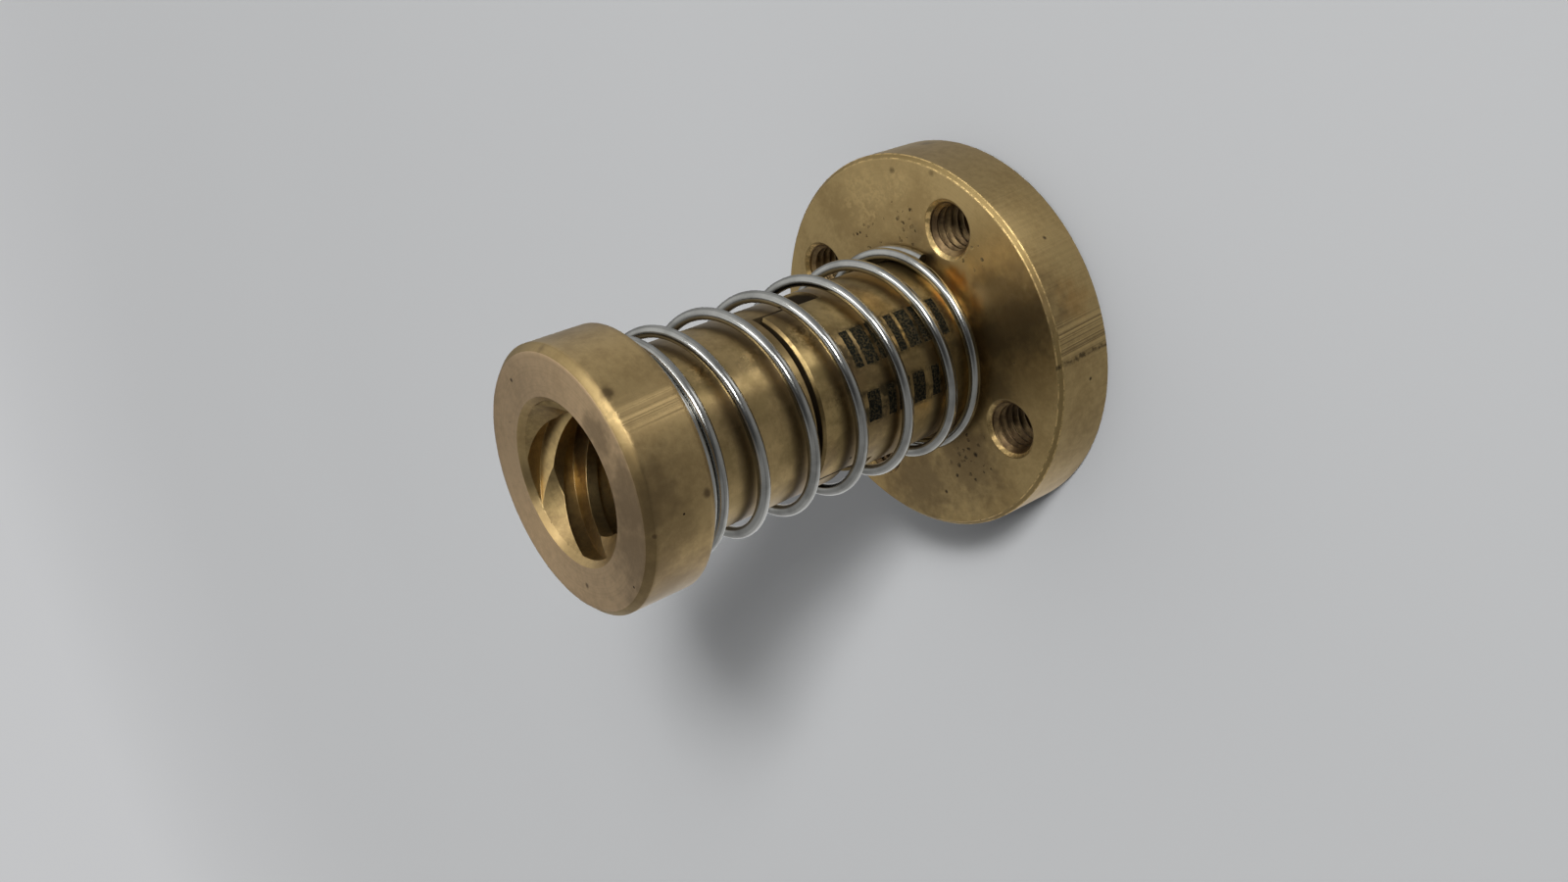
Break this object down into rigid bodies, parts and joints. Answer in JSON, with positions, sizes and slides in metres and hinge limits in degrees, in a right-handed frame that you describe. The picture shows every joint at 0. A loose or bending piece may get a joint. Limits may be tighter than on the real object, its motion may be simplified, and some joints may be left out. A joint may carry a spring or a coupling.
{
  "type": "lead screw nut",
  "caption": "Spring-loaded anti-backlash lead screw nut: a round flanged brass nut and a collar nut, joined by jaws and pushed apart by a coil spring.",
  "frame": {"origin": "on the bore's axis, at the flat back face of the flange", "axes": "+Z along the bore from the flange to the collar, which is straight up as it stands on its flange; the slots in the barrel are cut along Y and the bolt holes stand between X and Y"},
  "size_m": [0.022, 0.022, 0.0274],
  "materials": {
    "brass": "dull turned brass with darkened spots",
    "spring_steel": "bright drawn wire"
  },
  "bodies": {
    "flanged_body": {"flanged_nut": "brass", "preload_spring": "spring_steel"},
    "collar_body": {"collar_nut": "brass"}
  },
  "joints": [
    {"name": "collar_slide", "type": "slide", "parent": "flanged_body", "child": "collar_body", "axis": [0, 0, 1], "range_m": [-0.00045, 0.0015], "stiffness_N_per_m": 220, "deforming": ["preload_spring"]}
  ]
}
